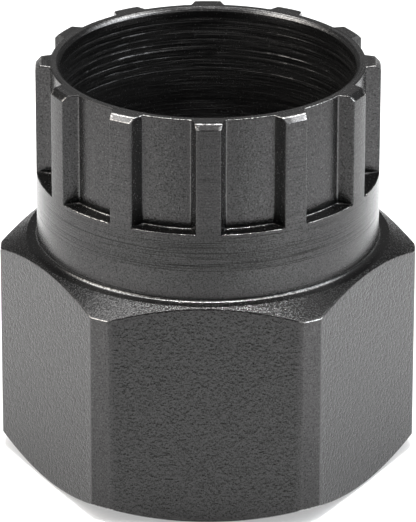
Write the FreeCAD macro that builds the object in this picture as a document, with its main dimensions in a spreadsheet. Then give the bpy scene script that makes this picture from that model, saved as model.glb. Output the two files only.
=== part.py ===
import FreeCAD, Part
import math
import os

import Sketcher

# Lockring tool: one turned and milled piece of steel. A hexagon at the foot
# takes a wrench, a round neck rises from it, and the end of the neck is cut
# into a ring of teeth that engage a cassette lockring. A bore runs through.
# +Z points from the foot to the toothed rim, and the origin is on the tool's
# axis at the foot face. One flat of the hexagon faces -Y.

# Driving sizes, in mm and degrees
SIZES = [
    ("tooth_count", 12),
    ("tooth_tip_dia", 23.4),
    ("tooth_depth", 1.0),
    ("tooth_tip_width", 1.62),
    ("tooth_flank_spread", 0.34),
    ("tooth_length", 7.8),
    ("tooth_root_fillet", 0.15),
    ("tooth_ledge_fillet", 0.12),
    ("tooth_index_angle", 0.8),
    ("tip_chamfer", 0.36),
    ("edge_break", 0.08),
    ("rim_wall", 0.7),
    ("mouth_chamfer_width", 0.24),
    ("mouth_chamfer_depth", 0.25),
    ("foot_chamfer", 0.5),
    ("neck_length", 4.85),
    ("shoulder_fillet", 0.3),
    ("shoulder_width", 0.95),
    ("hex_length", 15.95),
    ("hex_corner_cut", 0.36),
    ("hex_bevel_angle", 30.0),
    ("hex_top_margin", 0.2),
    ("hex_foot_margin", 0.2),
]

# Sizes that follow from them
DERIVED = {
    "tip_radius": "tooth_tip_dia / 2",
    "root_radius": "( tooth_tip_dia / 2 - tooth_depth )",
    "bore_radius": "( tooth_tip_dia / 2 - tooth_depth - rim_wall )",
    "half_flats": "( tooth_tip_dia / 2 + shoulder_width )",
    "corner_radius": "( half_flats * 2 / sqrt(3) - hex_corner_cut )",
    "top_face_radius": "( half_flats - hex_top_margin )",
    "foot_face_radius": "( half_flats - hex_foot_margin )",
    "top_rise": "( corner_radius - top_face_radius ) * tan(hex_bevel_angle * 1 deg)",
    "foot_rise": "( corner_radius - foot_face_radius ) * tan(hex_bevel_angle * 1 deg)",
    "rim": "( hex_length + neck_length + tooth_length )",
    "half_pitch": "180 deg / tooth_count",
    "root_half_width": "( tooth_tip_width / 2 + tooth_flank_spread )",
    "root_angle": "(half_pitch - asin(root_half_width / root_radius))",
    "tip_angle": "(half_pitch - asin(tooth_tip_width / tooth_tip_dia))",
}

doc = FreeCAD.newDocument("lockring_tool")
sheet = doc.addObject("Spreadsheet::Sheet", "Sizes")
for row, (name, number) in enumerate(SIZES, start=1):
    sheet.set("A%d" % row, name)
    sheet.set("B%d" % row, str(number))
    sheet.setAlias("B%d" % row, name)
CELLS = {name: "Sizes." + name for name, number in SIZES}
doc.recompute()

tool = doc.addObject("PartDesign::Body", "LockringTool")
tool.Label = "lockring_tool"


def formula(text):
    """Expression over the sheet's cells, with the derived sizes written out."""
    words = text.replace("(", "( ").replace(")", " )").split()
    if any(word in DERIVED for word in words):
        return formula(" ".join(DERIVED.get(word, word) for word in words))
    return " ".join(CELLS.get(word, word) for word in words)


def result(text):
    """Value that the expression has now."""
    number = tool.evalExpression(formula(text))
    return float(getattr(number, "Value", number))


def origin_part(role):
    """Plane or axis of the tool's own origin."""
    return [item for item in tool.Origin.OriginFeatures if item.Role == role][0]


def new_sketch(name, plane):
    sketch = tool.newObject("Sketcher::SketchObject", name)
    sketch.AttachmentSupport = (origin_part(plane), [""])
    sketch.MapMode = "FlatFace"
    return sketch


def bind(sketch, kind, elements, text):
    """Dimension of a sketch that follows the sizes."""
    index = sketch.addConstraint(Sketcher.Constraint(kind, *elements, result(text)))
    sketch.setExpression("Constraints[%d]" % index, formula(text))


def pin(sketch, line, end, x_text, y_text):
    """Hold one end of a line at its place, on the upright axis where x is 0."""
    if x_text == "0":
        sketch.addConstraint(Sketcher.Constraint("PointOnObject", line, end, -2))
    else:
        bind(sketch, "DistanceX", (-1, 1, line, end), x_text)
    bind(sketch, "DistanceY", (-1, 1, line, end), y_text)


def closed_outline(sketch, corners):
    """Straight-sided outline through the corners, each held at its place."""
    places = [FreeCAD.Vector(result(x), result(y), 0) for x, y in corners]
    ends = places[1:] + places[:1]
    lines = [
        sketch.addGeometry(Part.LineSegment(start, end), False)
        for start, end in zip(places, ends)
    ]
    for line, following in zip(lines, lines[1:] + lines[:1]):
        sketch.addConstraint(Sketcher.Constraint("Coincident", line, 2, following, 1))
    for line, (x, y) in zip(lines, corners):
        pin(sketch, line, 1, x, y)
    return sketch


def finish(feature):
    """Make the feature the tool's latest step and work it out."""
    tool.Tip = feature
    doc.recompute()
    return feature


def cut(feature, base):
    """A cut that takes nothing away is a fault."""
    finish(feature)
    if feature.Shape.Volume > base.Shape.Volume - 1e-3:
        raise RuntimeError(feature.Label + " removes nothing")
    return feature


def turned(kind, name, corners):
    """Feature made by turning an outline about the tool's axis."""
    outline = closed_outline(new_sketch(name + "Outline", "XZ_Plane"), corners)
    feature = tool.newObject(kind, name)
    feature.Profile = outline
    feature.ReferenceAxis = (outline, ["V_Axis"])
    feature.Angle = 360
    return feature


# Hexagon bar, with a flat to -Y and a flat to +Y
half_side = "half_flats / sqrt(3)"
hex_outline = closed_outline(new_sketch("HexOutline", "XY_Plane"), [
    (half_side + " * 2", "0"),
    (half_side, "half_flats"),
    ("- " + half_side, "half_flats"),
    ("- " + half_side + " * 2", "0"),
    ("- " + half_side, "- half_flats"),
    (half_side, "- half_flats"),
])
hex_bar = tool.newObject("PartDesign::Pad", "HexBar")
hex_bar.Profile = hex_outline
hex_bar.setExpression("Length", formula("hex_length"))
finish(hex_bar)

# Turning of the bar: corners cut round, and both ends bevelled
corner_turning = turned("PartDesign::Groove", "CornerTurning", [
    ("foot_face_radius * 2 - corner_radius", "- foot_rise"),
    ("corner_radius", "foot_rise"),
    ("corner_radius", "hex_length - top_rise"),
    ("top_face_radius * 2 - corner_radius", "hex_length + top_rise"),
    ("half_flats * 2", "hex_length + top_rise"),
    ("half_flats * 2", "- foot_rise"),
])
cut(corner_turning, hex_bar)

# Round neck, with the chamfer that leads the teeth in
neck = turned("PartDesign::Revolution", "Neck", [
    ("0", "hex_length / 2"),
    ("tip_radius", "hex_length / 2"),
    ("tip_radius", "rim - tip_chamfer"),
    ("tip_radius - tip_chamfer", "rim"),
    ("0", "rim"),
])
finish(neck)

# Bore through the tool, chamfered at the rim and at the foot
bore = turned("PartDesign::Groove", "Bore", [
    ("0", "- foot_chamfer"),
    ("bore_radius + foot_chamfer * 2", "- foot_chamfer"),
    ("bore_radius", "foot_chamfer"),
    ("bore_radius", "rim - mouth_chamfer_depth"),
    ("bore_radius + mouth_chamfer_width * 2", "rim + mouth_chamfer_depth"),
    ("0", "rim + mouth_chamfer_depth"),
])
cut(bore, neck)

# Outline of the space between two teeth, drawn about its own middle line and
# turned half a tooth pitch from a tooth: a floor round the axis, two flanks,
# and a part that runs out past the tips
root_x = "root_radius * sin(root_angle)"
tip_x = "tip_radius * sin(tip_angle)"
tip_y = "tip_radius * cos(tip_angle)"
outer_y = tip_y + " + tooth_depth"
space = new_sketch("ToothSpaceOutline", "XY_Plane")
space.setExpression("AttachmentOffset.Base.z", formula("rim"))
space.setExpression(
    "AttachmentOffset.Rotation.Angle", formula("half_pitch + tooth_index_angle * 1 deg")
)

half_floor = math.radians(result("root_angle"))
root = FreeCAD.Vector(result(root_x), result("root_radius * cos(root_angle)"), 0)
tip = FreeCAD.Vector(result(tip_x), result(tip_y), 0)
outer = FreeCAD.Vector(result(tip_x), result(outer_y), 0)
left_root, left_tip, left_outer = (FreeCAD.Vector(-p.x, p.y, 0) for p in (root, tip, outer))
floor_circle = Part.Circle(FreeCAD.Vector(), FreeCAD.Vector(0, 0, 1), result("root_radius"))
floor_arc = Part.ArcOfCircle(floor_circle, math.pi / 2 - half_floor, math.pi / 2 + half_floor)
floor = space.addGeometry(floor_arc, False)
flank = space.addGeometry(Part.LineSegment(root, tip), False)
side = space.addGeometry(Part.LineSegment(tip, outer), False)
across = space.addGeometry(Part.LineSegment(outer, left_outer), False)
left_side = space.addGeometry(Part.LineSegment(left_outer, left_tip), False)
left_flank = space.addGeometry(Part.LineSegment(left_tip, left_root), False)
for joined in [
    (floor, 3, -1, 1),
    (floor, 1, flank, 1),
    (flank, 2, side, 1),
    (side, 2, across, 1),
    (across, 2, left_side, 1),
    (left_side, 2, left_flank, 1),
    (left_flank, 2, floor, 2),
]:
    space.addConstraint(Sketcher.Constraint("Coincident", *joined))
for mirrored in [
    (floor, 1, floor, 2, -2),
    (flank, 2, left_flank, 1, -2),
    (across, 1, across, 2, -2),
]:
    space.addConstraint(Sketcher.Constraint("Symmetric", *mirrored))
bind(space, "Radius", (floor,), "root_radius")
bind(space, "DistanceX", (-1, 1, flank, 1), root_x)
pin(space, flank, 2, tip_x, tip_y)
pin(space, side, 2, tip_x, outer_y)

# The spaces round the rim, each ending in a flat ledge on the neck
tooth_space = tool.newObject("PartDesign::Pocket", "ToothSpace")
tooth_space.Profile = space
tooth_space.setExpression("Length", formula("tooth_length"))
cut(tooth_space, bore)

tooth_spaces = tool.newObject("PartDesign::PolarPattern", "ToothSpaces")
tooth_spaces.Originals = [tooth_space]
tooth_spaces.Axis = (origin_part("Z_Axis"), [""])
tooth_spaces.Angle = 360
tooth_spaces.setExpression("Occurrences", formula("tooth_count"))
cut(tooth_spaces, tooth_space)


def close(one, other):
    return abs(one - other) < 1e-4


def edges_of(feature, wanted):
    """Names of the feature's edges that pass a test."""
    edges = enumerate(feature.Shape.Edges, start=1)
    return ["Edge%d" % number for number, edge in edges if wanted(edge)]


def upright(edge, radius, length):
    """True for an edge along the axis, this far from it and this long."""
    heights = [end.Z for end in edge.Vertexes]
    radii = [math.hypot(end.X, end.Y) for end in edge.Vertexes]
    spans = close(max(heights) - min(heights), length)
    return spans and all(close(one, radius) for one in radii)


def arc_round_axis(edge, radius, height):
    """True for an arc about the axis with this radius at this height."""
    if edge.Degenerated or not hasattr(edge.Curve, "Radius"):
        return False
    if not close(edge.Curve.Radius, radius):
        return False
    middle = edge.Curve.Center
    return close(math.hypot(middle.x, middle.y), 0) and close(middle.z, height)


def fillet(name, base, wanted, radius_text):
    """Round the edges that pass a test."""
    feature = tool.newObject("PartDesign::Fillet", name)
    feature.Base = (base, edges_of(base, wanted))
    feature.setExpression("Radius", formula(radius_text))
    return finish(feature)


def break_edges(name, base, wanted):
    """Small flat in place of each sharp edge that passes a test."""
    feature = tool.newObject("PartDesign::Chamfer", name)
    feature.Base = (base, edges_of(base, wanted))
    feature.setExpression("Size", formula("edge_break"))
    return finish(feature)


# Fillet along the foot of each flank, then round the end of each space
root_radius = result("root_radius")
tooth_length = result("tooth_length")
ledge = result("hex_length + neck_length")
flank_roots = fillet(
    "FlankRoots",
    tooth_spaces,
    lambda edge: upright(edge, root_radius, tooth_length),
    "tooth_root_fillet",
)
space_ends = fillet(
    "SpaceEnds",
    flank_roots,
    lambda edge: arc_round_axis(edge, root_radius, ledge),
    "tooth_ledge_fillet",
)

# Fillet where the neck meets the top of the hexagon
tip_radius = result("tip_radius")
shoulder = result("hex_length")
shoulder_root = fillet(
    "ShoulderRoot",
    space_ends,
    lambda edge: arc_round_axis(edge, tip_radius, shoulder),
    "shoulder_fillet",
)

# Sharp edges broken: tooth tips, tip chamfers and the rim's outline, then the
# corners of the hexagon
chamfer_foot = result("rim - tip_chamfer")
straight_tip = result("tooth_length - tip_chamfer")
straight_corner = result("hex_length - top_rise - foot_rise")
corner_radius = result("corner_radius")


def outer_rim(edge):
    """True for an edge of a tip chamfer or of the rim's outer outline."""
    lowest = min(end.Z for end in edge.Vertexes)
    nearest = min(math.hypot(end.X, end.Y) for end in edge.Vertexes)
    return lowest > chamfer_foot - 1e-4 and nearest > root_radius - 1e-4


tooth_breaks = break_edges(
    "ToothBreaks",
    shoulder_root,
    lambda edge: outer_rim(edge) or upright(edge, tip_radius, straight_tip),
)
corner_breaks = break_edges(
    "CornerBreaks",
    tooth_breaks,
    lambda edge: upright(edge, corner_radius, straight_corner),
)

# Soundness of the whole document, then the file
for item in doc.Objects:
    if "Invalid" in item.State or "Error" in item.State:
        raise RuntimeError(item.Label + " has failed")
shape = tool.Shape
if shape.isNull() or not shape.isValid() or len(shape.Solids) != 1:
    raise RuntimeError("the tool is not one sound solid")
print("volume %.1f mm3, %d faces" % (shape.Volume, len(shape.Faces)))
os.makedirs("parts", exist_ok=True)
shape.exportStep("parts/lockring_tool.step")
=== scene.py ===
import math
from functools import partial

import bpy
import numpy as np
from mathutils import Matrix, Vector


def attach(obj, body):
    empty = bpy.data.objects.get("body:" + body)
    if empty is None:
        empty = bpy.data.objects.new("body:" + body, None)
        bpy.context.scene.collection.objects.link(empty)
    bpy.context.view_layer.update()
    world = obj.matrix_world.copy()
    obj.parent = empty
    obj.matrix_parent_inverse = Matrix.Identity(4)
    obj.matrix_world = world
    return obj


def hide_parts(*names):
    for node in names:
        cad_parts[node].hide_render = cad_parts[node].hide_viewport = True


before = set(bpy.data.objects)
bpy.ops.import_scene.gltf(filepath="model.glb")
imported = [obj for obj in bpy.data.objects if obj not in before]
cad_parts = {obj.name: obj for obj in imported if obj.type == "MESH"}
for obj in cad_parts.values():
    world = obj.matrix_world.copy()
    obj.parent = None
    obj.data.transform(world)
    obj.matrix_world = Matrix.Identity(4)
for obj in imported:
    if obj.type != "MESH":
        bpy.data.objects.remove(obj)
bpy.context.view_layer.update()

# Sizes of the tool in mm, as in its solid
TEETH = 12
SIDES = 6
TIP_R = 11.7
ROOT_R = 10.7
BORE_R = 10.0
TIP_HALF = 0.81
ROOT_HALF = 1.15
RIM_Z = 28.6
LEDGE_Z = 20.8
SHOULDER_Z = 15.95
TIP_CHAMFER = 0.36
MOUTH_W, MOUTH_D = 0.24, 0.25
FOOT_CHAMFER = 0.5
ROOT_FILLET = 0.15
LEDGE_FILLET = 0.12
SHOULDER_FILLET = 0.3
HALF_FLATS = 12.65
CORNER_CUT = 0.36
CORNER_R = HALF_FLATS * 2 / math.sqrt(3) - CORNER_CUT
FACE_INSET = 0.2
FACE_R = HALF_FLATS - FACE_INSET
BEVEL = math.tan(math.radians(30))
INDEX_ANGLE = 0.8

# Radii of the broken edges in mm
TIP_ROUND, TIP_ROUND_SPREAD = 0.10, 0.03
CHAMFER_ROUND = 0.1
TOP_ROUND = 0.08
STRIP_ROUND = 0.33
FACE_ROUND = 0.06
BEVEL_ROUND = 0.13

# Columns of points round the tool, as shares of each stretch, and points on each round
LAND_SHARES = (0.0, 0.25, 0.5, 0.73, 0.92)
FLANK_SHARES = (0.12, 0.85)
FLOOR_SHARES = (0.08, 0.2, 0.34, 0.5, 0.66, 0.83, 1.0)
STRIP_SHARES = (0.08, 0.22, 0.4, 0.6, 0.78, 0.92, 1.0)
ARC_POINTS = 4
TIP_START = len(LAND_SHARES)
FLANK_START = TIP_START + ARC_POINTS
ROOT_START = FLANK_START + len(FLANK_SHARES)
HALF_PITCH = ROOT_START + ARC_POINTS + len(FLOOR_SHARES) - 1
PITCH = 2 * HALF_PITCH
COLUMNS = PITCH * TEETH
FLAT_POINTS = PITCH - ARC_POINTS - len(STRIP_SHARES)

rng = np.random.default_rng(11)
tip_rounds = TIP_ROUND + TIP_ROUND_SPREAD * rng.standard_normal(2 * TEETH).clip(-1.5, 1.5)


def ring_noise(waves, low, high, seed):
    """Smooth closed noise of unit size, one value a column."""
    gen = np.random.default_rng(seed)
    t = np.linspace(0, 2 * math.pi, COLUMNS, endpoint=False)
    total = np.zeros(COLUMNS)
    for _ in range(waves):
        turns = gen.integers(low, high)
        total += np.sin(turns * t + gen.uniform(0, 2 * math.pi))
    return total / math.sqrt(waves / 2)


def smooth_step(value, low, high):
    """Share from 0 at low to 1 at high, with soft ends."""
    share = np.clip((value - low) / (high - low), 0.0, 1.0)
    return share * share * (3 - 2 * share)


def square_to(direction):
    return np.array([-direction[1], direction[0]])


def polar(point):
    return math.hypot(*point), math.atan2(point[1], point[0])


def corner_points(corner, before, after, radius, normal):
    """Points of the arc that rounds a corner between two directions."""
    turn = math.acos(max(-1.0, min(1.0, float(np.dot(before, after)))))
    start = corner - before * radius * math.tan(turn / 2)
    centre = start - normal * radius
    return [
        centre + radius * (normal * math.cos(a) + before * math.sin(a))
        for a in np.linspace(0, turn, ARC_POINTS)
    ]


# Outline of the teeth: land, rounded tip edge, flank, root fillet, floor
TIP_POINT = np.array([math.sqrt(TIP_R ** 2 - TIP_HALF ** 2), TIP_HALF])
ROOT_POINT = np.array([math.sqrt(ROOT_R ** 2 - ROOT_HALF ** 2), ROOT_HALF])
FLANK = (ROOT_POINT - TIP_POINT) / np.linalg.norm(ROOT_POINT - TIP_POINT)
FLANK_NORMAL = -square_to(FLANK)


def flank_at(point, radius):
    """Where a line along the flank, through the point, crosses a circle."""
    b = float(np.dot(point, FLANK))
    c = float(np.dot(point, point)) - radius * radius
    return point + FLANK * (-b - math.sqrt(b * b - c))


def half_outline(land, floor, inset, tip_round):
    """Radius and angle of each column from the middle of a tooth to the middle of a space."""
    flank_point = TIP_POINT - FLANK_NORMAL * inset
    tip = flank_at(flank_point, land)
    root = flank_at(flank_point, floor)
    tip_out = tip / np.linalg.norm(tip)
    root_out = root / np.linalg.norm(root)
    tip_arc = corner_points(tip, square_to(tip_out), FLANK, tip_round, tip_out)
    root_arc = corner_points(root, FLANK, square_to(root_out), ROOT_FILLET, -FLANK_NORMAL)
    flank = root_arc[0] - tip_arc[-1]
    land_end = polar(tip_arc[0])[1]
    floor_start = polar(root_arc[-1])[1]
    floor_run = math.pi / TEETH - floor_start
    points = [(land, land_end * share) for share in LAND_SHARES]
    points += [polar(point) for point in tip_arc]
    points += [polar(tip_arc[-1] + flank * share) for share in FLANK_SHARES]
    points += [polar(point) for point in root_arc]
    points += [(floor, floor_start + floor_run * share) for share in FLOOR_SHARES]
    return np.array(points)


def full_outline(land, floor, inset):
    """Radius and angle of every column round the teeth."""
    radii, angles = [], []
    for tooth in range(TEETH):
        middle = 2 * math.pi * tooth / TEETH
        after = (tooth + 1) % TEETH
        right = half_outline(land, floor, inset, tip_rounds[2 * tooth])
        left = half_outline(land, floor, inset, tip_rounds[2 * after + 1])
        radii += list(right[:, 0]) + list(left[-2:0:-1, 0])
        angles += list(middle + right[:, 1])
        angles += list(middle + 2 * math.pi / TEETH - left[-2:0:-1, 1])
    return np.array(radii), np.array(angles) + math.radians(INDEX_ANGLE)


# Outline of the hexagon: flat, rounded edge, corner strip
FLAT_REST, EDGE_LEAD = 0.2, 0.06


def half_flat():
    """Radius and angle of each column from the middle of a flat to the middle of a corner."""
    corner = np.array([HALF_FLATS, math.sqrt(CORNER_R ** 2 - HALF_FLATS ** 2)])
    out, along = np.array([1.0, 0.0]), np.array([0.0, 1.0])
    arc = corner_points(corner, along, square_to(corner / CORNER_R), STRIP_ROUND, out)
    end = arc[0][1]
    flat = [(HALF_FLATS, y) for y in np.linspace(0, end - FLAT_REST, FLAT_POINTS)]
    points = [polar(point) for point in flat + [(HALF_FLATS, end - EDGE_LEAD)] + arc]
    start = points[-1][1]
    points += [(CORNER_R, start + (math.pi / SIDES - start) * share) for share in STRIP_SHARES]
    return np.array(points).T


flat_r, flat_a = half_flat()
hex_r, hex_a = [], []
for sector in range(2 * SIDES):
    start = math.pi * sector / SIDES
    if sector % 2 == 0:
        hex_r += list(flat_r[:-1])
        hex_a += list(start + flat_a[:-1])
    else:
        hex_r += list(flat_r[:0:-1])
        hex_a += list(start + math.pi / SIDES - flat_a[:0:-1])
hex_r, hex_a = np.array(hex_r), np.array(hex_a)
from_front = (np.degrees(hex_a) + 180) % 360 - 180

# Profile of a tooth's tip: the chamfer and the rounds at its two edges
reach = CHAMFER_ROUND * math.tan(math.radians(22.5))
tip_profile_r, tip_profile_z = [], []
for centre_r, centre_z, first, last in (
    (TIP_R - CHAMFER_ROUND, RIM_Z - TIP_CHAMFER - reach, 0, 45),
    (TIP_R - TIP_CHAMFER - reach, RIM_Z - CHAMFER_ROUND, 45, 90),
):
    for a in np.linspace(math.radians(first), math.radians(last), 4):
        tip_profile_r.append(centre_r + CHAMFER_ROUND * math.cos(a))
        tip_profile_z.append(centre_z + CHAMFER_ROUND * math.sin(a))


def land_at(z):
    """Radius of the tip at a height."""
    return float(np.interp(z, tip_profile_z, tip_profile_r))


rim_radius, rim_angle = full_outline(land_at(RIM_Z), ROOT_R - TOP_ROUND, TOP_ROUND)
base_radius, base_angle = full_outline(TIP_R, ROOT_R, 0.0)

# Wear and painted highlights, as the share of bare steel: a value for each tooth, from the front one
# to its right, set tooth by tooth to where the edges catch the lamps
CHAMFER_WEAR_AND_HIGHLIGHT = (0.2, 0.36, 0.12, 0.3, 0.2, 0.35, 0.2, 0.3, 0.25, 0.3, 0.12, 0.3)
CHAMFER_SIDE_WEAR_AND_HIGHLIGHT = (0.82, 0.74, 0.8, 0.7, 0.68, 0.74, 0.68, 0.72, 0.7, 0.72, 0.8, 0.72)
TIP_LINE_WEAR_AND_HIGHLIGHT = (0.78, 0.9, 0.3, 0.9, 0.8, 0.9, 0.8, 0.9, 0.8, 0.9, 0.3, 0.9)
LAND_TOP_WEAR_AND_HIGHLIGHT = (0.0, 0.5, 0.5, 1.0, 0.7, 0.5, 0.5, 0.5, 0.7, 1.0, 0.6, 0.7)
# The same for each space, from the one at the front tooth's right
RIM_EDGE_WEAR_AND_HIGHLIGHT = (0.8, 0.9, 0.5, 0.55, 0.45, 0.5, 0.5, 0.45, 0.55, 0.5, 0.46, 0.95)
# Wear of the rest of the tool, with painted highlights on the flank tops, the shoulder fillet and the
# corner strips, and painted shade deep in the bore
BORE_WEAR, DEEP_BORE_WEAR_AND_SHADE = 0.505, 0.44
MOUTH_WEAR, MOUTH_EDGE_SHARE = 0.42, 0.8
FLANK_TOP_WEAR_AND_HIGHLIGHT = 0.95
LAND_EDGE_SHARE = 1.2
UNLIT_HALF_LESS = (0.6, 0.8)
LEDGE_WEAR, LEDGE_ROOT_WEAR, LEDGE_BAND_WEAR = 0.8, 0.65, 0.34
# Painted highlight on the shoulder fillet, full at the front and weaker at the sides
FILLET_HIGHLIGHT, FAR_FILLET_HIGHLIGHT = 0.63, 0.47
FILLET_HIGHLIGHT_FADE = (44, 54)
SHOULDER_LINE_WEAR = 0.44
CORNER_WEAR_AND_HIGHLIGHT, FLAT_EDGE_WEAR = 1.25, 0.05
# Painted highlights on the mouth, where the side lamps reflect in it: angle, width and added share of
# bare steel
MOUTH_HIGHLIGHTS = ((214, 13, 0.22), (152, 13, 0.2))
# Share of turned lines, of the coarse blasted grain, and of the fine grain
MOUTH_LINES, FILLET_LINES = 0.6, 0.5
NECK_LINES, NECK_SMOOTH, LAND_LINES, BEVEL_LINES = 1.0, 0.2, 0.5, 0.4
TOOTH_GRAIN, BEVEL_GRAIN, STRIP_GRAIN, FLAT_GRAIN = 0.25, 0.25, 0.25, 1.0
BEVEL_SPECKLE, FLAT_SPECKLE, NECK_SPECKLE = 2.0, 0.75, 0.9
# Tone added where the coating is only rubbed, and painted light and shade: tone added for highlights
# on some chamfers and roots, and taken away for shade on other chamfers, on the bevel's front corners
# and in dark corners
CHAMFER_PAINTED_LIGHT = (1.2, 2.2, 0.0, -0.2, 0.0, 0.5, 0.0, 0.5, 0.0, -0.2, 0.0, 1.6)
BEVEL_RUBBED = 0.15
STRIP_RUBBED, STRIP_EDGE_RUBBED = 0.12, 0.15
LAND_RUBBED = 0.12
ROOT_HIGHLIGHT = 0.6
RIM_TOP_RUBBED = 1.8
LEDGE_SHADE = -0.6
FLOOR_END_SHADE = -0.48
DEEP_BORE_SHADE = -0.05
# Painted shade on the upper bevel, by the angle round the tool, 0 in front and more to the right:
# darker on the corners either side of the front
BEVEL_ANGLES = (-58, -47, -40, -36, -32, -26, 15, 23, 26, 29, 33, 38, 47, 58)
BEVEL_SHADE_TONES = (
    0.15, -0.60, -0.48, -0.25, 0.02, 0.15, 0.15, -0.30, -0.48, -0.62, -0.76, -0.85, -0.85, 0.15,
)

# What each column runs along
column = np.arange(COLUMNS)
from_middle = np.abs((column + HALF_PITCH) % PITCH - HALF_PITCH)
tooth_of = ((column + HALF_PITCH) // PITCH) % TEETH
space_of = column // PITCH
right_half = column % PITCH < HALF_PITCH
on_land = (from_middle < FLANK_START - 1).astype(float)
off_land = 1 - on_land
at_tip_edge = (from_middle >= TIP_START - 1) & (from_middle < FLANK_START)
at_root = (from_middle == ROOT_START + 1) | (from_middle == ROOT_START + 2)


def by_tooth(values):
    return np.array(values)[tooth_of]


def half_tooth(tooth, right):
    """Columns of the right or the left half of a tooth, seen from outside."""
    return (tooth_of == tooth) & (right_half == right)


# The left half of tooth 1, which the lamps light less, gets less painted light and bare steel on its
# chamfer
unlit_half = half_tooth(1, False) & (from_middle > 1)
chamfer_wear_and_highlight = np.maximum(by_tooth(CHAMFER_WEAR_AND_HIGHLIGHT), at_tip_edge * by_tooth(CHAMFER_SIDE_WEAR_AND_HIGHLIGHT))
chamfer_wear_and_highlight *= 1 - UNLIT_HALF_LESS[0] * unlit_half
# Painted highlight and shade on the chamfers, tooth by tooth: lighter on the front teeth, darker on
# teeth 3 and 9
chamfer_painted_light = by_tooth(CHAMFER_PAINTED_LIGHT) * on_land
chamfer_painted_light *= 1 - UNLIT_HALF_LESS[1] * unlit_half
tip_line = by_tooth(TIP_LINE_WEAR_AND_HIGHLIGHT) * on_land
rim_wear_and_highlight = np.array(RIM_EDGE_WEAR_AND_HIGHLIGHT)[space_of] * off_land
rim_wear_and_highlight *= (tooth_of > 0) | (from_middle > ROOT_START)
# Painted highlights on the flank tops of teeth 9 and 3, on their sides towards the front
flank_line = half_tooth(9, True) | half_tooth(3, False)
flank_line &= from_middle < ROOT_START + 2
rim_wear_and_highlight = np.maximum(rim_wear_and_highlight, FLANK_TOP_WEAR_AND_HIGHLIGHT * off_land * flank_line)
# Painted highlights along the roots of the front tooth and of the sides of teeth 10 and 2 that face it
highlit_root = (tooth_of == 0) | half_tooth(10, True) | half_tooth(2, False)
root_highlight = ROOT_HIGHLIGHT * highlit_root * at_root

# Rows of the surface: up the bore, over the rim and down the outside to the foot face
rows = []


def add_row(radius, angle, height, wear_and_highlight=0.0, turned=0.0, blasted=0.0, speckled=1.0, rub_and_painted_light=0.0):
    """Add a row of points and its shares, each one value or a value a column."""
    values = (radius, angle, height, wear_and_highlight, turned, blasted, speckled, rub_and_painted_light)
    rows.append([value * np.ones(COLUMNS) for value in values])


# Bore: foot chamfer and plain wall, on which the columns pass from the hexagon's places to the
# teeth's, and deep down a painted shade and less bare steel
BORE_BLEND = (2.0, 16.0)
DEEP_BELOW = 23.0
for radius, height in (
    (BORE_R + FOOT_CHAMFER + 0.04, 0.0),
    (BORE_R + FOOT_CHAMFER - 0.01, 0.03),
    (BORE_R + 0.03, FOOT_CHAMFER - 0.03),
    (BORE_R, FOOT_CHAMFER + 0.04),
    (BORE_R, 3.0),
    (BORE_R, 7.0),
    (BORE_R, 11.0),
    (BORE_R, 15.0),
    (BORE_R, 19.0),
    (BORE_R, 22.0),
    (BORE_R, 23.6),
):
    share = smooth_step(height, *BORE_BLEND)
    deep = height < DEEP_BELOW
    add_row(radius, hex_a * (1 - share) + rim_angle * share, height, turned=1.0,
            wear_and_highlight=DEEP_BORE_WEAR_AND_SHADE if deep else BORE_WEAR, rub_and_painted_light=DEEP_BORE_SHADE * deep)

# Feed marks, from the lowest up, shallower and duller on the right at the back
MARK_PITCH = 0.506
MARK_FIRST = 0.95
MARK_DEPTHS = (0.6, 0.65, 0.7, 0.85, 1.0, 0.75, 0.65, 0.75)
MARK_PROFILE = ((-0.13, 0.0), (-0.09, 0.15), (-0.02, 0.9), (0.01, 1.0), (0.09, 0.7), (0.20, 0.0))
MARK_WOBBLE = 0.012
MARK_DEPTH, MARK_SWELL, MARK_RAGGED = 0.042, 0.009, 0.006
MARK_LEAST, MARK_MOST = 0.01, 0.08
REAR_ANGLE, REAR_SPREAD = 125, 38
REAR_SHALLOW, REAR_DULL = 0.25, 0.03
at_rear = np.exp(-(((np.degrees(rim_angle) + 360) % 360 - REAR_ANGLE) / REAR_SPREAD) ** 2)
bore_wear = BORE_WEAR - REAR_DULL * at_rear
for mark, deep in reversed(list(enumerate(MARK_DEPTHS))):
    middle = RIM_Z - MARK_FIRST - mark * MARK_PITCH
    wobble = MARK_WOBBLE * ring_noise(5, 2, 14, 100 + mark)
    depth = MARK_DEPTH + MARK_SWELL * ring_noise(8, 3, 60, 200 + mark)
    depth += MARK_RAGGED * ring_noise(12, 90, 200, 500 + mark)
    depth = depth.clip(MARK_LEAST, MARK_MOST) * deep * (1 - REAR_SHALLOW * at_rear)
    for offset, share in MARK_PROFILE:
        add_row(BORE_R + depth * share, rim_angle, middle + offset + wobble,
                wear_and_highlight=bore_wear, turned=1.0)

# Mouth chamfer, nicked at its outer edge, and the flat top of the rim
NICK = 0.02
RIM_STEP = 0.05
# Share of bare steel on the mouth, with its painted highlights
mouth_wear_and_highlight = MOUTH_WEAR * np.ones(COLUMNS)
for place, width, more in MOUTH_HIGHLIGHTS:
    away = (np.degrees(rim_angle) - place + 180) % 360 - 180
    mouth_wear_and_highlight += more * np.exp(-(away / width) ** 2)
nick = NICK * ring_noise(9, 4, 70, 301).clip(-1.5, 1.5)
for radius, height in (
    (BORE_R, RIM_Z - 0.62),
    (BORE_R, RIM_Z - MOUTH_D - 0.05),
    (BORE_R + 0.03, RIM_Z - MOUTH_D + 0.02),
    (BORE_R + MOUTH_W - 0.05, RIM_Z - 0.045),
):
    add_row(radius, rim_angle, height, wear_and_highlight=mouth_wear_and_highlight, turned=MOUTH_LINES)
mouth = BORE_R + MOUTH_W + 0.02 + nick * 0.6
add_row(mouth, rim_angle, RIM_Z - 0.004, wear_and_highlight=mouth_wear_and_highlight * MOUTH_EDGE_SHARE, turned=MOUTH_LINES)
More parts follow.
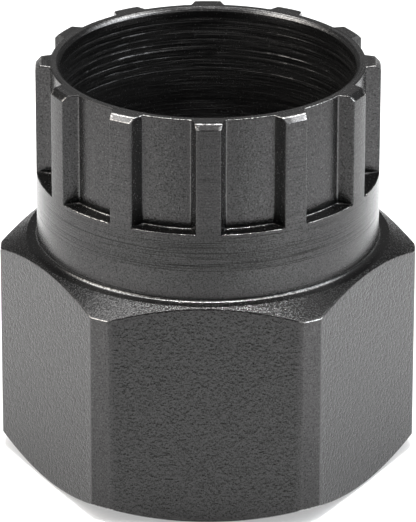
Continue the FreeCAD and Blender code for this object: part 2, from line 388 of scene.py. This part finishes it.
for share in (0.0, 0.3, 0.65, 0.92):
    radius = mouth + RIM_STEP + (rim_radius - mouth - RIM_STEP) * share
    add_row(radius, rim_angle, RIM_Z, turned=1.0, rub_and_painted_light=RIM_TOP_RUBBED)

# Teeth: the outline drawn in at the rounded top edge
TOP_STEPS = 5
TIP_LINE_DOWN, CHAMFER_DOWN = 0.05, 0.03
for step in range(TOP_STEPS):
    a = math.radians(90) * (1 - step / (TOP_STEPS - 1))
    z = RIM_Z - TOP_ROUND * (1 - math.sin(a))
    inset = TOP_ROUND * (1 - math.cos(a))
    radius, angle = full_outline(land_at(z), ROOT_R - inset, inset)
    wear_and_highlight = rim_wear_and_highlight * math.sin(2 * a) ** 2 + tip_line * (z > RIM_Z - TIP_LINE_DOWN)
    rub_and_painted_light = chamfer_painted_light * (z < RIM_Z - CHAMFER_DOWN) + RIM_TOP_RUBBED * (step == 0)
    add_row(radius, angle, z, wear_and_highlight=wear_and_highlight, rub_and_painted_light=rub_and_painted_light)

# Teeth: down the chamfer, and straight down to the ledge
CHAMFER_ROWS = (0.13, 0.2, 0.27, 0.33, TIP_CHAMFER)
CHAMFER_END = 0.33
TOOTH_ROWS = (0.39, 0.42, 0.47, 0.6, 1.0, 1.8, 2.8, 3.8, 4.8, 5.8, 6.7, 7.2)
LAND_FADE = 0.1
for down in CHAMFER_ROWS + TOOTH_ROWS:
    radius, angle = full_outline(land_at(RIM_Z - down), ROOT_R, 0.0)
    wear_and_highlight = chamfer_wear_and_highlight if down <= TIP_CHAMFER else 0.0
    if CHAMFER_END <= down <= TIP_CHAMFER:
        wear_and_highlight = np.maximum(chamfer_wear_and_highlight * LAND_EDGE_SHARE, by_tooth(LAND_TOP_WEAR_AND_HIGHLIGHT))
    below = min(1.0, max(0.0, (down - TIP_CHAMFER) / LAND_FADE))
    rub_and_painted_light = chamfer_painted_light if down <= CHAMFER_END else LAND_RUBBED * on_land
    add_row(radius, angle, RIM_Z - down, wear_and_highlight=wear_and_highlight * on_land, turned=LAND_LINES * on_land * below,
            blasted=TOOTH_GRAIN * (off_land + on_land * below), rub_and_painted_light=rub_and_painted_light + root_highlight)

# Ledge at the end of each space: fillet, flat and worn outer edge, flattened out on the teeth
LEDGE_RUN = 0.3
LEDGE_SHARE = 0.45
LEDGE_EDGE, LEDGE_EDGE_SPREAD = 0.07, 0.03
LEDGE_EDGE_LEAST, LEDGE_EDGE_MOST = 0.025, 0.14
BURR = 0.012
LEDGE_POINTS = 5
ROW_SPREAD = 0.07
FLOOR_END = 0.3
run = TIP_R - base_radius
full = smooth_step(run, 0.0, LEDGE_RUN)
fillet = np.minimum(LEDGE_FILLET, run * LEDGE_SHARE)
edge = LEDGE_EDGE + LEDGE_EDGE_SPREAD * ring_noise(12, 6, 90, 400)
edge = np.minimum(edge.clip(LEDGE_EDGE_LEAST, LEDGE_EDGE_MOST), run * LEDGE_SHARE)
burr = BURR * ring_noise(12, 8, 110, 401)
ledge_rows = []
for a in np.linspace(0, math.pi / 2, LEDGE_POINTS):
    radius = base_radius + fillet * (1 - math.cos(a))
    ledge_rows.append((radius, fillet * (1 - math.sin(a)), LEDGE_ROOT_WEAR * math.sin(2 * a)))
for share in (0.3, 0.7):
    radius = base_radius + fillet + (run - fillet - edge) * share
    ledge_rows.append((radius, 0.0, LEDGE_BAND_WEAR))
for a in np.linspace(0, math.pi / 2, LEDGE_POINTS):
    radius = TIP_R - edge + edge * math.sin(a)
    rise = -edge * (1 - math.cos(a)) + burr * math.sin(2 * a)
    ledge_rows.append((radius, rise, LEDGE_WEAR * math.sin(2 * a)))
add_row(base_radius, base_angle, LEDGE_Z + FLOOR_END, turned=LAND_LINES * on_land,
        blasted=TOOTH_GRAIN, rub_and_painted_light=FLOOR_END_SHADE * full)
spread = np.linspace(ROW_SPREAD, -ROW_SPREAD, len(ledge_rows))
for step, ((radius, rise, worn), even) in enumerate(zip(ledge_rows, spread)):
    add_row(radius, base_angle, LEDGE_Z + rise * full + even * (1 - full), wear_and_highlight=worn * full,
            turned=LAND_LINES * (1 - full), rub_and_painted_light=LEDGE_SHADE * full * (step == 0))

# Neck, with the lines that turning left on it: height, half width and depth of each
NECK_GROOVES = ((18.87, 0.05, 0.009), (18.73, 0.03, 0.004), (18.20, 0.05, 0.014), (19.79, 0.03, 0.005))
NECK_ROWS = (
    LEDGE_Z - 0.2, LEDGE_Z - 0.45, 20.1, 19.4, 19.1, 18.6, 18.45, 18.0, 17.6, 17.2, 16.8, 16.5,
)
NECK_BLEND = (LEDGE_Z - 0.3, SHOULDER_Z + SHOULDER_FILLET)
SMOOTH_BELOW = 18.2


def groove_depth(z):
    """Depth in mm of the turned lines at a height."""
    return sum(deep * max(0.0, 1 - abs(z - place) / width) for place, width, deep in NECK_GROOVES)


neck_rows = list(NECK_ROWS)
for place, width, deep in NECK_GROOVES:
    neck_rows += [place + width, place + width / 2, place, place - width / 2, place - width]
for z in sorted(neck_rows, reverse=True):
    share = smooth_step(z, *NECK_BLEND)
    add_row(TIP_R - groove_depth(z), base_angle * (1 - share) + hex_a * share, z,
            turned=NECK_LINES if z > SMOOTH_BELOW else NECK_SMOOTH, speckled=NECK_SPECKLE)

# Fillet between the neck and the hexagon's shoulder, with a painted highlight along its middle that is
# weaker at the sides
FILLET_POINTS = 6
fillet_highlight = np.interp(np.abs(from_front), FILLET_HIGHLIGHT_FADE, (FILLET_HIGHLIGHT, FAR_FILLET_HIGHLIGHT))
for a in np.linspace(0, math.pi / 2, FILLET_POINTS):
    radius = TIP_R + SHOULDER_FILLET * (1 - math.cos(a))
    height = SHOULDER_Z + SHOULDER_FILLET * (1 - math.sin(a))
    add_row(radius, hex_a, height, wear_and_highlight=fillet_highlight * math.sin(2 * a), turned=FILLET_LINES)

# Bevel of the hexagon, its flats, and the bevel at the foot
STRIP_FROM, STRIP_FADE = 0.85, 0.1
STRIP_EDGE_OUT, STRIP_EDGE_IN = 0.0005, 0.06
BEVEL_POINTS = 5
on_strip = (hex_r - HALF_FLATS) / (CORNER_R - HALF_FLATS) - STRIP_FROM
on_strip = on_strip.clip(0, STRIP_FADE) / STRIP_FADE
at_strip_edge = (hex_r > CORNER_R - STRIP_EDGE_IN) & (hex_r < CORNER_R - STRIP_EDGE_OUT)
# Wear and a painted highlight along the top and foot edges of the flats, strongest on the corner
# strips
edge_wear_and_highlight = FLAT_EDGE_WEAR + (CORNER_WEAR_AND_HIGHLIGHT - FLAT_EDGE_WEAR) * on_strip
flat_grain = FLAT_GRAIN + (STRIP_GRAIN - FLAT_GRAIN) * on_strip
flat_speckle = FLAT_SPECKLE + (1 - FLAT_SPECKLE) * on_strip
strip_rubbed = STRIP_RUBBED * on_strip + STRIP_EDGE_RUBBED * at_strip_edge


def bevel_rows(face_z, sign, tone, speckle):
    """Rows from the end face out to the rounded edge of the flats."""
    face_reach = FACE_ROUND * math.tan(math.radians(15))
    bevelled = {"turned": BEVEL_LINES, "blasted": BEVEL_GRAIN, "speckled": speckle, "rub_and_painted_light": tone}
    found = [
        (FACE_R - 0.10, face_z, {"turned": 1.0}),
        (FACE_R - face_reach, face_z, {"turned": 1.0, "wear_and_highlight": SHOULDER_LINE_WEAR}),
        (FACE_R + face_reach, face_z - sign * BEVEL * face_reach, bevelled),
    ]
    length = hex_r - FACE_R
    soft = np.minimum(BEVEL_ROUND, length * 0.8)
    reach = soft * math.tan(math.radians(30))
    for share in (0.2, 0.4, 0.6, 0.8, 0.95):
        radius = FACE_R + face_reach + (length - face_reach - reach) * share
        found.append((radius, face_z - sign * BEVEL * (radius - FACE_R), bevelled))
    centre_z = face_z - sign * BEVEL * length - sign * reach
    for a in np.linspace(math.radians(60), 0, BEVEL_POINTS):
        radius = hex_r - soft + soft * math.cos(a)
        height = centre_z + sign * soft * math.sin(a)
        found.append((radius, height, {"wear_and_highlight": edge_wear_and_highlight * math.sin(3 * a), "blasted": flat_grain}))
    return found


# Painted shade on the upper bevel, with more speckle where it is darker
upper_shade = np.interp(from_front, BEVEL_ANGLES, BEVEL_SHADE_TONES)
upper_speckle = BEVEL_SPECKLE * (1 + BEVEL_RUBBED - upper_shade)
upper_rows = bevel_rows(SHOULDER_Z, 1, upper_shade, upper_speckle)
lower_rows = bevel_rows(0.0, -1, BEVEL_RUBBED, BEVEL_SPECKLE)
for radius, height, shares in upper_rows:
    add_row(radius, hex_a, height, **shares)
upper, lower = upper_rows[-1][1], lower_rows[-1][1]
for share in (0.012, 0.12, 0.3, 0.5, 0.7, 0.88, 0.988):
    add_row(hex_r, hex_a, upper + (lower - upper) * share,
            blasted=flat_grain, speckled=flat_speckle, rub_and_painted_light=strip_rubbed)
for radius, height, shares in reversed(lower_rows):
    add_row(radius, hex_a, height, **shares)
for out in (0.7, 0.12):
    add_row(BORE_R + FOOT_CHAMFER + out, hex_a, 0.0, turned=1.0)

# Points in metres, and faces that join each row to the next and the last to the first
table = np.array(rows)
radius, angle, height = table[:, 0], table[:, 1] - math.pi / 2, table[:, 2]
points = np.stack([radius * np.cos(angle), radius * np.sin(angle), height], axis=-1) / 1000.0
points[..., 2] = points[..., 2].clip(0.0, RIM_Z / 1000.0)
points = points.reshape(-1, 3)
this_row = np.arange(len(points)).reshape(len(rows), COLUMNS)
next_row = np.roll(this_row, -1, axis=0)
quads = np.stack(
    [next_row, np.roll(next_row, -1, axis=1), np.roll(this_row, -1, axis=1), this_row], axis=-1
).reshape(-1, 4)

# Normals of the points, weighted by the area of the faces round them
first_diagonal = points[quads[:, 2]] - points[quads[:, 0]]
second_diagonal = points[quads[:, 3]] - points[quads[:, 1]]
face_normals = np.cross(first_diagonal, second_diagonal) / 2
normals = np.zeros_like(points)
for corner in range(4):
    np.add.at(normals, quads[:, corner], face_normals)
normals /= np.linalg.norm(normals, axis=1, keepdims=True)

mesh = bpy.data.meshes.new("tool_surface")
mesh.from_pydata(points.tolist(), [], quads.tolist())
mesh.update()
for face in mesh.polygons:
    face.use_smooth = True
mesh.normals_split_custom_set_from_vertices(normals.tolist())
for place, name in enumerate(("wear_and_highlight", "turned", "blasted", "speckled", "rub_and_painted_light"), 3):
    layer = mesh.attributes.new(name, "FLOAT", "POINT")
    layer.data.foreach_set("value", table[:, place].reshape(-1))
tool = bpy.data.objects.new("tool_surface", mesh)
bpy.context.scene.collection.objects.link(tool)


def node(tree, kind, **values):
    """New node, with its settings and input values by name."""
    made = tree.nodes.new(kind)
    for name, value in values.items():
        if hasattr(made, name):
            setattr(made, name, value)
        else:
            made.inputs[name].default_value = value
    return made


def math_node(tree, operation, *values):
    """Output of a math node, each value a number or the output of another node."""
    made = node(tree, "ShaderNodeMath", operation=operation)
    for socket, value in zip(made.inputs, values):
        if isinstance(value, (int, float)):
            socket.default_value = value
        else:
            tree.links.new(value, socket)
    return made.outputs[0]


def map_range(tree, value, low, high, to_low=0.0, to_high=1.0):
    made = tree.nodes.new("ShaderNodeMapRange")
    ends = {"From Min": low, "From Max": high, "To Min": to_low, "To Max": to_high}
    for name, end in ends.items():
        made.inputs[name].default_value = end
    tree.links.new(value, made.inputs["Value"])
    return made.outputs["Result"]


# Scales of the grain and of the turned lines, a metre
FINE_SCALE, PIT_SCALE, COARSE_SCALE = 9500.0, 5200.0, 4400.0
LINE_SCALE, LINE_TURNS = 14000.0, 1.5
PATCH_SCALE = 7000.0
GRAIN_ROUGHNESS = 0.6
PIT_STEP = 0.0001
# Highest value of each grain, so that it darkens more than it lightens
FINE_CAP, PIT_CAP, COARSE_CAP = 0.09, 0.05, 0.04
# Tone and colour of the coating, and the strength of the pits' painted shade
FINE_TONE, PIT_SHADING, COARSE_TONE = 2.9, 1.6, 0.7
LOWEST_TONE = 0.15
LINE_FROM, LINE_FULL, LINE_SHADE = 0.02, 0.14, 0.6
BASE = 0.040
COAT_COLOUR = (BASE, BASE * 0.985, BASE * 0.98, 1)
# Bare steel, whose colour also paints the highlights on edges and the fillet
WORN_AND_HIGHLIGHT_GREY = 0.50
WORN_AND_HIGHLIGHT_COLOUR = (WORN_AND_HIGHLIGHT_GREY, WORN_AND_HIGHLIGHT_GREY * 0.98, WORN_AND_HIGHLIGHT_GREY * 0.96, 1)
WORN_LOW, WORN_HIGH = 0.40, 1.15
PATCH_BASE, PATCH_CONTRAST = 0.95, 2.4
# Surface
METAL = 0.85
ROUGH_LOW, ROUGH_HIGH = 0.21, 0.30
BUMP_DISTANCE = 0.00006
FINE_BUMP, COARSE_BUMP, LINE_BUMP = 0.12, 1.55, 0.4
# Sockets of a colour mix
MIX_SHARE, MIX_FIRST, MIX_SECOND, MIX_RESULT = 0, 6, 7, 2


def black_steel():
    """Black oxide over fine blasting, with turned lines and worn edges, and painted highlights and
    shade.
    """
    material = bpy.data.materials.new("black_steel")
    material.use_nodes = True
    tree = material.node_tree
    tree.nodes.clear()
    link = tree.links.new
    calc = partial(math_node, tree)
    output = tree.nodes.new("ShaderNodeOutputMaterial")
    shader = node(tree, "ShaderNodeBsdfPrincipled", Metallic=METAL)
    link(shader.outputs["BSDF"], output.inputs["Surface"])
    place = tree.nodes.new("ShaderNodeTexCoord").outputs["Object"]

    def noise(scale, detail, vector):
        made = node(tree, "ShaderNodeTexNoise", Scale=scale, Detail=detail, Roughness=GRAIN_ROUGHNESS)
        link(vector, made.inputs["Vector"])
        return calc("SUBTRACT", made.outputs["Fac"], 0.5)

    def share_of(name):
        return node(tree, "ShaderNodeAttribute", attribute_name=name).outputs["Fac"]

    wear_and_highlight, turned, rub_and_painted_light = share_of("wear_and_highlight"), share_of("turned"), share_of("rub_and_painted_light")
    blasted, speckled = share_of("blasted"), share_of("speckled")

    # Fine grain everywhere, and a coarse one on the blasted faces
    fine = calc("MULTIPLY", noise(FINE_SCALE, 1.0, place), speckled)
    coarse = calc("MINIMUM", noise(COARSE_SCALE, 2.0, place), COARSE_CAP)
    coarse = calc("MULTIPLY", coarse, blasted)

    # Painted shade on the blasted pits: each is darker on its underside, as if lit from above
    shift = tree.nodes.new("ShaderNodeVectorMath")
    shift.inputs[1].default_value = (0.0, 0.0, PIT_STEP)
    link(place, shift.inputs[0])
    lower = noise(PIT_SCALE, 1.0, place)
    pit_shading = calc("SUBTRACT", lower, noise(PIT_SCALE, 1.0, shift.outputs[0]))
    pit_shading = calc("MULTIPLY", calc("MINIMUM", pit_shading, PIT_CAP), blasted)

    # Lines round the axis, for the turned surfaces
    split = tree.nodes.new("ShaderNodeSeparateXYZ")
    link(place, split.inputs[0])
    x, y, z = split.outputs
    across = calc("SQRT", calc("ADD", calc("MULTIPLY", x, x), calc("MULTIPLY", y, y)))
    ring = tree.nodes.new("ShaderNodeCombineXYZ")
    link(calc("MULTIPLY", across, LINE_SCALE), ring.inputs[0])
    link(calc("MULTIPLY", z, LINE_SCALE), ring.inputs[1])
    link(calc("MULTIPLY", calc("ARCTAN2", y, x), LINE_TURNS), ring.inputs[2])
    lines = noise(1.0, 2.0, ring.outputs[0])
    dark_lines = calc("MULTIPLY", map_range(tree, lines, LINE_FROM, LINE_FULL), turned)

    # Tone of the coating, with painted light and shade
    tone = calc("MULTIPLY_ADD", calc("MINIMUM", fine, FINE_CAP), FINE_TONE, 1.0)
    tone = calc("MULTIPLY_ADD", pit_shading, PIT_SHADING, tone)
    tone = calc("MULTIPLY_ADD", coarse, COARSE_TONE, tone)
    tone = calc("MAXIMUM", calc("ADD", tone, rub_and_painted_light), LOWEST_TONE)
    tone = calc("MULTIPLY", tone, calc("SUBTRACT", 1.0, calc("MULTIPLY", dark_lines, LINE_SHADE)))
    coat = node(tree, "ShaderNodeMix", data_type="RGBA", blend_type="MULTIPLY")
    coat.inputs[MIX_SHARE].default_value = 1.0
    coat.inputs[MIX_FIRST].default_value = COAT_COLOUR
    link(tone, coat.inputs[MIX_SECOND])

    # Bare steel and painted highlights, in spots, and in lines where the surface is turned
    spots = calc("MULTIPLY", noise(PATCH_SCALE, 2.0, place), calc("SUBTRACT", 1.0, turned))
    streaks = calc("MULTIPLY", lines, turned)
    patchy = calc("MULTIPLY_ADD", calc("ADD", spots, streaks), PATCH_CONTRAST, PATCH_BASE)
    bare_and_highlight = map_range(tree, calc("MULTIPLY", wear_and_highlight, patchy), WORN_LOW, WORN_HIGH)
    colour = node(tree, "ShaderNodeMix", data_type="RGBA")
    link(bare_and_highlight, colour.inputs[MIX_SHARE])
    link(coat.outputs[MIX_RESULT], colour.inputs[MIX_FIRST])
    colour.inputs[MIX_SECOND].default_value = WORN_AND_HIGHLIGHT_COLOUR
    link(colour.outputs[MIX_RESULT], shader.inputs["Base Color"])
    link(map_range(tree, fine, -0.5, 0.5, ROUGH_LOW, ROUGH_HIGH), shader.inputs["Roughness"])

    # Relief of the grain and the lines
    height = calc("MULTIPLY", fine, FINE_BUMP)
    height = calc("MULTIPLY_ADD", coarse, COARSE_BUMP, height)
    height = calc("MULTIPLY_ADD", streaks, LINE_BUMP, height)
    bump = node(tree, "ShaderNodeBump", Strength=1.0, Distance=BUMP_DISTANCE)
    link(height, bump.inputs["Height"])
    link(bump.outputs["Normal"], shader.inputs["Normal"])
    return material


mesh.materials.append(black_steel())
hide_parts("lockring_tool")
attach(tool, "root")

# Plain pale floor that glows to the camera and in reflections
FLOOR_COLOUR = 0.60
FLOOR_GLOW = 0.4
FLOOR_HALF = 6.0
FLOOR_DROP = 0.00002


def floor_material():
    material = bpy.data.materials.new("pale_floor")
    material.use_nodes = True
    tree = material.node_tree
    tree.nodes.clear()
    link = tree.links.new
    calc = partial(math_node, tree)
    output = tree.nodes.new("ShaderNodeOutputMaterial")
    grey = (FLOOR_COLOUR, FLOOR_COLOUR, FLOOR_COLOUR, 1)
    matte = node(tree, "ShaderNodeBsdfDiffuse", Color=grey)
    glow = node(tree, "ShaderNodeEmission", Color=(1, 1, 1, 1))
    total = tree.nodes.new("ShaderNodeAddShader")
    path = tree.nodes.new("ShaderNodeLightPath").outputs
    seen = calc("MAXIMUM", path["Is Camera Ray"], path["Is Glossy Ray"])
    seen = calc("MAXIMUM", seen, path["Is Transmission Ray"])
    link(calc("MULTIPLY", seen, FLOOR_GLOW), glow.inputs["Strength"])
    link(matte.outputs[0], total.inputs[0])
    link(glow.outputs[0], total.inputs[1])
    link(total.outputs[0], output.inputs["Surface"])
    return material


floor_mesh = bpy.data.meshes.new("floor")
corners = [(-1, -1), (1, -1), (1, 1), (-1, 1)]
floor_mesh.from_pydata([(x * FLOOR_HALF, y * FLOOR_HALF, 0) for x, y in corners], [], [(0, 1, 2, 3)])
floor = bpy.data.objects.new("floor", floor_mesh)
floor.location.z = -FLOOR_DROP
bpy.context.scene.collection.objects.link(floor)
floor_mesh.materials.append(floor_material())

# World: dark at the horizon, lighter overhead, as steps of height and grey
WORLD_STEPS = ((0.0, 0.10), (0.08, 0.10), (0.25, 0.16), (0.7, 0.16), (0.9, 0.4))
world = bpy.data.worlds.new("studio")
bpy.context.scene.world = world
world.use_nodes = True
tree = world.node_tree
tree.nodes.clear()
out = tree.nodes.new("ShaderNodeOutputWorld")
sky = tree.nodes.new("ShaderNodeBackground")
where = tree.nodes.new("ShaderNodeTexCoord")
parts = tree.nodes.new("ShaderNodeSeparateXYZ")
shade = tree.nodes.new("ShaderNodeValToRGB")
ramp = shade.color_ramp
for place, grey in WORLD_STEPS:
    stop = ramp.elements.new(place)
    stop.color = (grey, grey, grey, 1)
ramp.elements.remove(ramp.elements[0])
ramp.elements.remove(ramp.elements[-1])
tree.links.new(where.outputs["Generated"], parts.inputs[0])
tree.links.new(parts.outputs["Z"], shade.inputs["Fac"])
tree.links.new(shade.outputs["Color"], sky.inputs["Color"])
tree.links.new(sky.outputs[0], out.inputs["Surface"])


def hang(name, lamp, place):
    """Put a lamp in the scene."""
    item = bpy.data.objects.new(name, lamp)
    bpy.context.scene.collection.objects.link(item)
    item.location = place
    return item


def soft_box(name, place, aim, size, radiance, tint=(1.0, 1.0, 1.0)):
    """Rectangular lamp that faces a point."""
    lamp = bpy.data.lights.new(name, "AREA")
    lamp.shape = "RECTANGLE"
    lamp.size, lamp.size_y = size
    lamp.energy = radiance * math.pi * size[0] * size[1]
    lamp.color = tint
    item = hang(name, lamp, place)
    item.rotation_euler = (Vector(aim) - Vector(place)).to_track_quat("-Z", "Y").to_euler()


def wash(name, place, power, tint):
    """Narrow soft lamp that points straight down."""
    lamp = bpy.data.lights.new(name, "SPOT")
    lamp.energy = power
    lamp.color = [1 - WASH_TINT + WASH_TINT * part for part in tint]
    lamp.spot_size = math.radians(WASH_ANGLE)
    lamp.spot_blend = 1.0
    lamp.shadow_soft_size = WASH_RADIUS
    hang(name, lamp, place)


# Soft boxes above, to the left (warm) and to the right (cool), and two washes on each side
TOP_LIGHT = 4.8
TOP_SIZE = (0.7, 0.28)
TOP_Y, TOP_Z = 0.055, 0.42
SIDE_LIGHT = 3.2
SIDE_SIZE = (0.38, 0.26)
SIDE_X, SIDE_Y, SIDE_Z = 0.34, -0.06, 0.27
SIDE_AIM = (0, 0, 0.015)
LEFT_TINT, RIGHT_TINT = (1.0, 0.96, 0.91), (0.90, 0.945, 1.0)
WASH_ANGLE, WASH_RADIUS, WASH_TINT = 16, 0.02, 0.3
WASH_HEIGHT = 0.42
FRONT_WASH = (0.055, -0.035, 16.0)
BACK_WASH = (0.050, 0.045, 9.0)
RIGHT_MORE = 1.35
soft_box("top_box", (0.0, TOP_Y, TOP_Z), (0, TOP_Y, 0.0), TOP_SIZE, TOP_LIGHT)
for side, name, more, tint in ((-1, "left", 1.0, LEFT_TINT), (1, "right", RIGHT_MORE, RIGHT_TINT)):
    soft_box(name + "_box", (side * SIDE_X, SIDE_Y, SIDE_Z), SIDE_AIM, SIDE_SIZE, SIDE_LIGHT, tint)
    for part, (x, y, power) in (("front", FRONT_WASH), ("back", BACK_WASH)):
        wash(name + "_wash_" + part, (side * x, y, WASH_HEIGHT), power * more, tint)

# Camera, fitted to the photograph: angles in degrees, lengths in mm
ELEVATION = 23.737
DISTANCE = 353.957
TARGET_X, TARGET_Z = 0.013, 13.805
TURN = 0.62
ROLL = 0.098
FOCAL_PX, PHOTO_PX = 5150.8, 522.0
SENSOR = 36.0
e = math.radians(ELEVATION)
target = Vector((TARGET_X, 0, TARGET_Z))
forward = Vector((0, math.cos(e), -math.sin(e)))
turn = Matrix.Rotation(math.radians(TURN), 4, "Z")
eye = turn @ (target - forward * DISTANCE)
look = turn.to_3x3() @ forward
up = turn.to_3x3() @ Vector((0, math.sin(e), math.cos(e)))
right = look.cross(up)
r = math.radians(ROLL)
up = up * math.cos(r) - right * math.sin(r)
right = look.cross(up)
camera_data = bpy.data.cameras.new("camera")
camera_data.sensor_width = SENSOR
camera_data.lens = FOCAL_PX * SENSOR / PHOTO_PX
camera_data.clip_start = 0.01
camera_data.clip_end = 50.0
camera = bpy.data.objects.new("camera", camera_data)
bpy.context.scene.collection.objects.link(camera)
camera.matrix_world = Matrix((
    (right.x, up.x, -look.x, eye.x / 1000),
    (right.y, up.y, -look.y, eye.y / 1000),
    (right.z, up.z, -look.z, eye.z / 1000),
    (0, 0, 0, 1),
))
bpy.context.scene.camera = camera
bpy.context.scene.view_settings.view_transform = "Standard"
